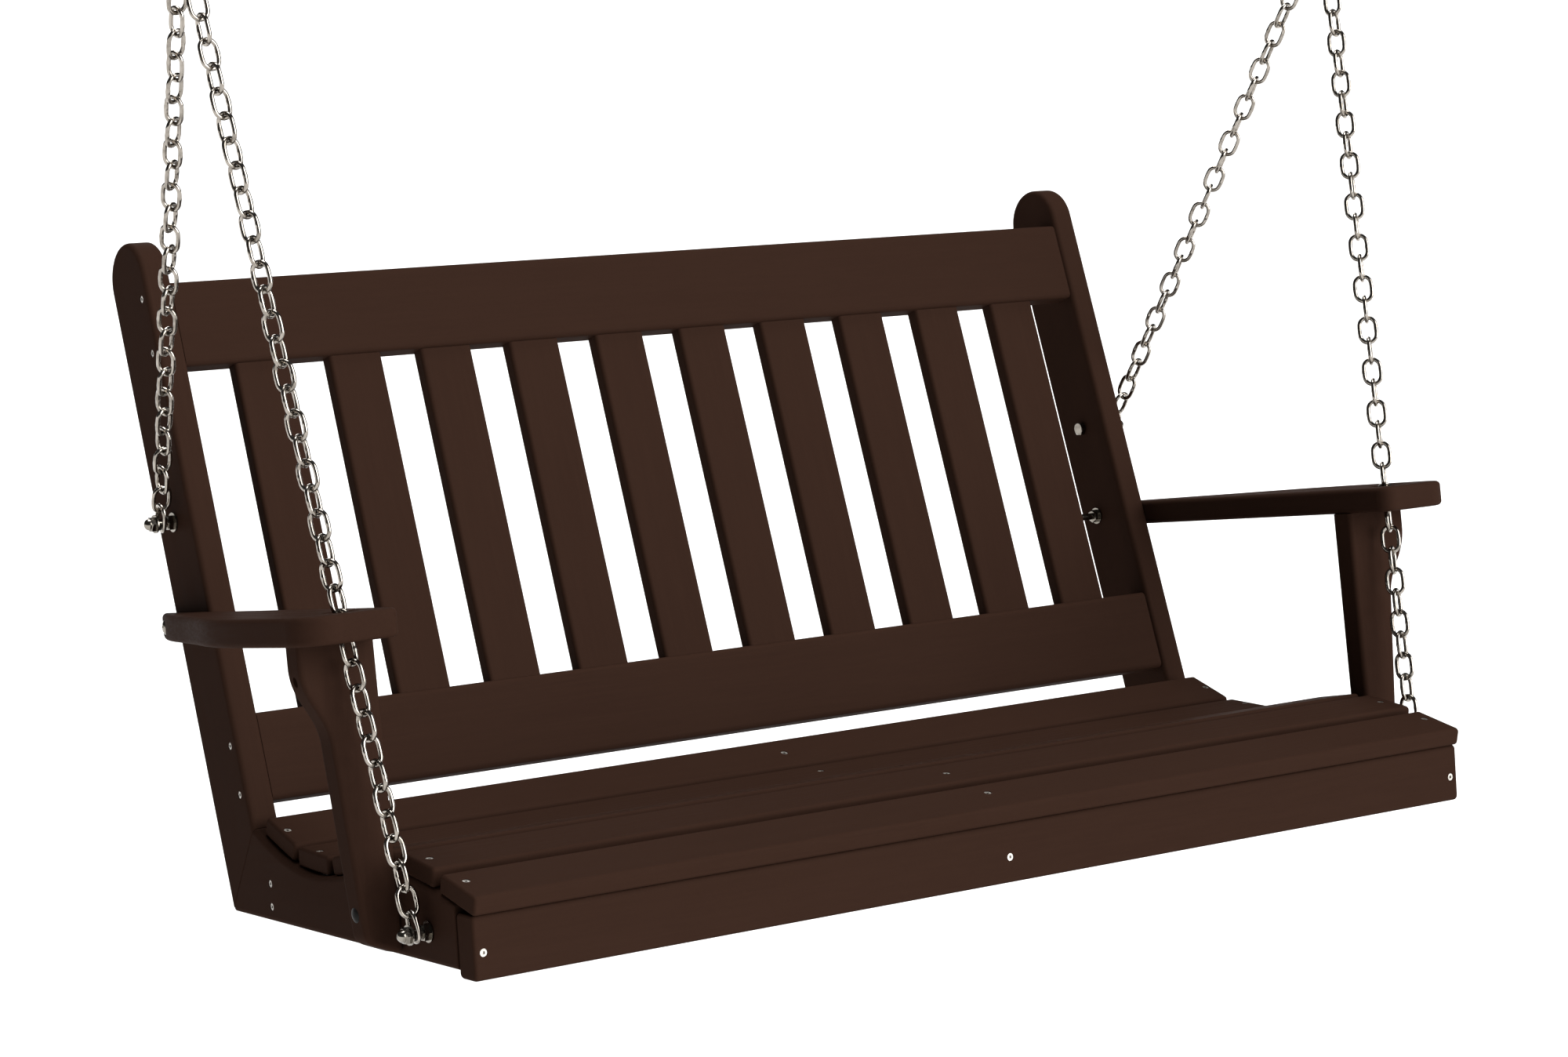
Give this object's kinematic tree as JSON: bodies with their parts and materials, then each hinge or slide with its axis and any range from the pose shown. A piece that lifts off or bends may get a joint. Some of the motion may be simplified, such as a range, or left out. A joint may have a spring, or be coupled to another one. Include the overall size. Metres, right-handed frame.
{
  "type": "porch swing seat",
  "caption": "Two-seat slatted porch swing of dark moulded poly boards with curved arms, hung on taut steel link chains from screw-in ceiling hooks.",
  "frame": {"origin": "midway between the two ceiling hooks, on the axis that the seat swings about, which runs through the lowest point of each hook's bowl", "axes": "+X to the right along the bench as seen from the front, +Y to the back, +Z plumb up; the seat hangs at rest below the origin, tilted back about 8 degrees"},
  "size_m": [1.4614, 0.7624, 1.1244],
  "materials": {
    "poly_board": "moulded poly lumber in dark chocolate brown, satin, with a faint wood-grain skin",
    "screw_steel": "stainless wood screws with square sockets",
    "bolt_steel": "zinc-plated bolts, nuts and washers",
    "plug_plastic": "black moulded plastic",
    "chain_steel": "bright nickel-plated welded chain, slightly warm",
    "hook_steel": "zinc-plated steel rod"
  },
  "bodies": {
    "ceiling": {"left_ceiling_hook": "hook_steel", "right_ceiling_hook": "hook_steel"},
    "seat": {"left_seat_side": "poly_board", "right_seat_side": "poly_board", "centre_seat_support": "poly_board", "rear_seat_stretcher": "poly_board", "front_apron": "poly_board", "seat_slat_1": "poly_board", "seat_slat_2": "poly_board", "seat_slat_3": "poly_board", "seat_slat_4": "poly_board", "seat_slat_5": "poly_board", "seat_slat_6": "poly_board", "left_back_post": "poly_board", "right_back_post": "poly_board", "bottom_back_rail": "poly_board", "top_back_rail": "poly_board", "back_slat_01": "poly_board", "back_slat_02": "poly_board", "back_slat_03": "poly_board", "back_slat_04": "poly_board", "back_slat_05": "poly_board", "back_slat_06": "poly_board", "back_slat_07": "poly_board", "back_slat_08": "poly_board", "back_slat_09": "poly_board", "back_slat_10": "poly_board", "left_arm": "poly_board", "right_arm": "poly_board", "left_arm_post": "poly_board", "right_arm_post": "poly_board", "seat_slat_screws": "screw_steel", "apron_screws": "screw_steel", "stretcher_screws": "screw_steel", "back_rail_screws": "screw_steel", "back_post_screws": "screw_steel", "arm_post_screws": "screw_steel", "arm_screws": "screw_steel", "chain_bolts": "bolt_steel", "chain_flange_nuts": "bolt_steel", "chain_bolt_washers": "bolt_steel", "chain_cap_nuts": "bolt_steel", "arm_bolts": "bolt_steel", "arm_bolt_washers": "bolt_steel", "arm_bolt_nuts": "bolt_steel", "side_plugs": "plug_plastic", "left_front_chain": "chain_steel", "right_front_chain": "chain_steel", "left_rear_chain": "chain_steel", "right_rear_chain": "chain_steel", "left_chain_ring": "chain_steel", "right_chain_ring": "chain_steel"}
  },
  "joints": [
    {"name": "swing", "type": "hinge", "parent": "ceiling", "child": "seat", "pos_m": [0, 0, 0], "axis": [1, 0, 0], "range_deg": [-30, 30]}
  ]
}
